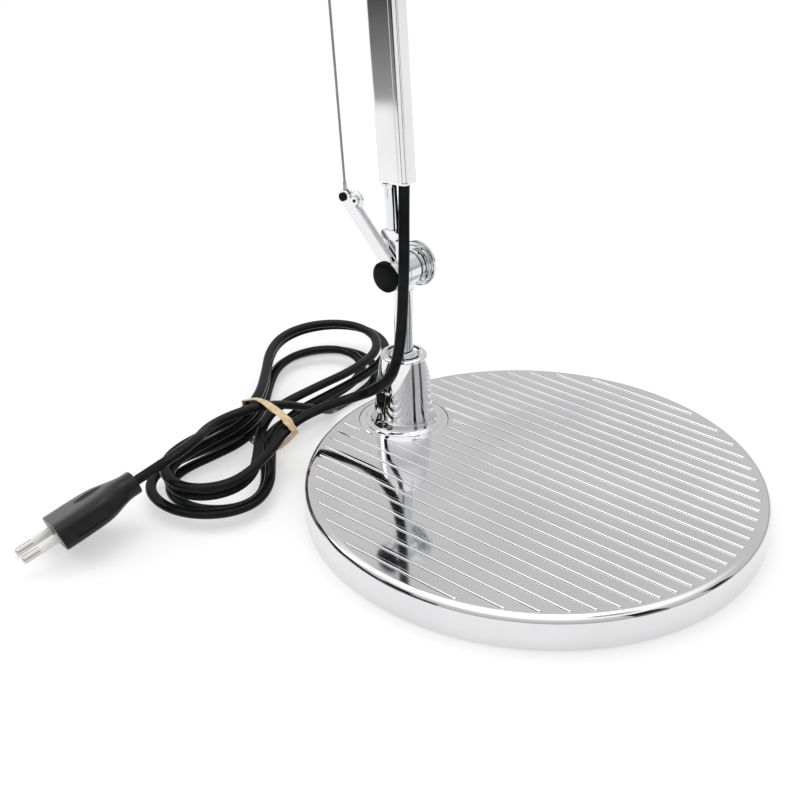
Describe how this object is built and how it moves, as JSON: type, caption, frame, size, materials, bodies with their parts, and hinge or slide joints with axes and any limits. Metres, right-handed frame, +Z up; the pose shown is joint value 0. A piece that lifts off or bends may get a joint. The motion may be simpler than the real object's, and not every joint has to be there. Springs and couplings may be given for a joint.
{
  "type": "architect lamp",
  "caption": "Desk lamp with a ribbed round metal base, two cable-balanced folding arms, a cone shade and a bundled flex with a flat plug.",
  "frame": {"origin": "centre of the round base on its underside", "axes": "+Z up; +X from the post towards the centre of the base, in the plane the arms move in; +Y to the left when looking along +X"},
  "size_m": [0.6271, 0.3181, 0.8208],
  "materials": {
    "disc_aluminium": "satin",
    "ballast_steel": "rough plate",
    "black_rubber": "matt",
    "screw_steel": "zinc",
    "polished_alloy": "polished",
    "arm_alloy": "satin",
    "chrome_steel": "mirror",
    "cable_steel": "twisted",
    "black_gloss": "gloss",
    "black_flex": "soft gloss",
    "plug_black": "satin",
    "pin_metal": "bright",
    "beige_band": "matt",
    "holder_white": "matt",
    "cap_brass": "bright",
    "bulb_glass": "frosted"
  },
  "bodies": {
    "base": {"base_cover": "disc_aluminium", "ballast_plate": "ballast_steel", "base_pad": "black_rubber", "base_screws": "screw_steel", "post_socket": "polished_alloy", "socket_bush": "chrome_steel", "flex_hank": "black_flex", "flex_lead": "black_flex", "flex_lower": "black_flex", "hank_band": "beige_band", "plug_body": "plug_black", "plug_pins": "pin_metal"},
    "swivel": {"swivel_post": "chrome_steel", "base_bolt": "screw_steel", "base_cap": "black_gloss", "base_washers": "screw_steel", "horn_lever": "arm_alloy", "horn_pins": "black_gloss"},
    "adjuster": {"adjuster_wheel": "chrome_steel"},
    "base_knob_body": {"base_knob": "chrome_steel"},
    "lower_arm": {"lower_foot": "polished_alloy", "lower_rod": "chrome_steel", "lower_profile": "arm_alloy", "lower_ends": "polished_alloy", "lower_spring": "screw_steel", "lower_sleeve": "black_gloss", "flex_upper": "black_flex"},
    "lower_link": {"lower_cable": "cable_steel"},
    "elbow": {"elbow_plate": "arm_alloy", "elbow_pins": "black_gloss", "elbow_bolt": "screw_steel", "elbow_cap": "black_gloss", "elbow_washers": "screw_steel"},
    "elbow_knob_body": {"elbow_knob": "chrome_steel"},
    "upper_arm": {"upper_foot": "polished_alloy", "upper_rod": "chrome_steel", "upper_profile": "arm_alloy", "upper_ends": "polished_alloy", "upper_spring": "screw_steel"},
    "upper_link": {"upper_cable": "cable_steel"},
    "wrist": {"head_plate": "arm_alloy", "head_pin": "black_gloss", "plate_bolts": "screw_steel", "plate_caps": "black_gloss", "plate_washers": "screw_steel"},
    "tilt_knob_body": {"tilt_knob": "chrome_steel"},
    "stem": {"head_stem": "polished_alloy"},
    "head": {"lamp_housing": "polished_alloy", "switch_body": "plug_black", "shade": "polished_alloy", "lampholder": "holder_white", "holder_contact": "cap_brass", "bulb_cap": "cap_brass", "bulb_glass": "bulb_glass"},
    "button": {"switch_button": "plug_black"}
  },
  "joints": [
    {"name": "swivel_turn", "type": "hinge", "parent": "base", "child": "swivel", "pos_m": [-0.0855, 0, 0.104], "axis": [0, 0, 1], "range_deg": [-150, 150]},
    {"name": "lower_arm_tilt", "type": "hinge", "parent": "swivel", "child": "lower_arm", "pos_m": [-0.0855, 0, 0.104], "axis": [0, 1, 0], "range_deg": [-20, 47], "deforming": ["flex_upper"]},
    {"name": "lower_link_turn", "type": "hinge", "parent": "swivel", "child": "lower_link", "pos_m": [-0.1135, 0, 0.1395], "axis": [0, 1, 0], "range_deg": [-20, 47]},
    {"name": "elbow_plate_turn", "type": "hinge", "parent": "lower_arm", "child": "elbow", "pos_m": [-0.12081, 0, 0.55261], "axis": [0, 1, 0], "range_deg": [-47, 20]},
    {"name": "upper_arm_tilt", "type": "hinge", "parent": "elbow", "child": "upper_arm", "pos_m": [-0.12081, 0, 0.55261], "axis": [0, 1, 0], "range_deg": [-37, 43]},
    {"name": "upper_link_turn", "type": "hinge", "parent": "elbow", "child": "upper_link", "pos_m": [-0.13481, 0, 0.59661], "axis": [0, 1, 0], "range_deg": [-37, 43]},
    {"name": "head_plate_turn", "type": "hinge", "parent": "upper_arm", "child": "wrist", "pos_m": [0.29418, 0, 0.77326], "axis": [0, 1, 0], "range_deg": [-43, 37]},
    {"name": "head_tilt", "type": "hinge", "parent": "wrist", "child": "stem", "pos_m": [0.32018, 0, 0.76726], "axis": [0, 1, 0], "range_deg": [-80, 25]},
    {"name": "head_turn", "type": "hinge", "parent": "stem", "child": "head", "pos_m": [0.32018, -0.0055, 0.73426], "axis": [0, 0, 1], "range_deg": [-90, 90]},
    {"name": "base_knob_turn", "type": "hinge", "parent": "swivel", "child": "base_knob_body", "pos_m": [-0.0855, 0, 0.104], "axis": [0, 1, 0], "continuous": true},
    {"name": "elbow_knob_turn", "type": "hinge", "parent": "elbow", "child": "elbow_knob_body", "pos_m": [-0.12081, 0, 0.55261], "axis": [0, 1, 0], "continuous": true},
    {"name": "tilt_knob_turn", "type": "hinge", "parent": "wrist", "child": "tilt_knob_body", "pos_m": [0.32018, 0, 0.76726], "axis": [0, 1, 0], "continuous": true},
    {"name": "adjuster_turn", "type": "hinge", "parent": "swivel", "child": "adjuster", "pos_m": [-0.1061, 0, 0.1389], "axis": [0, 1, 0], "continuous": true},
    {"name": "button_press", "type": "slide", "parent": "head", "child": "button", "axis": [0, 0, -1], "range_m": [0, 0.0025], "stiffness_N_per_m": 600, "springref_m": -0.001}
  ],
  "couplings": [
    {"joint": "lower_link_turn", "follows": "lower_arm_tilt", "ratio": 1},
    {"joint": "elbow_plate_turn", "follows": "lower_arm_tilt", "ratio": -1},
    {"joint": "upper_link_turn", "follows": "upper_arm_tilt", "ratio": 1},
    {"joint": "head_plate_turn", "follows": "upper_arm_tilt", "ratio": -1}
  ]
}
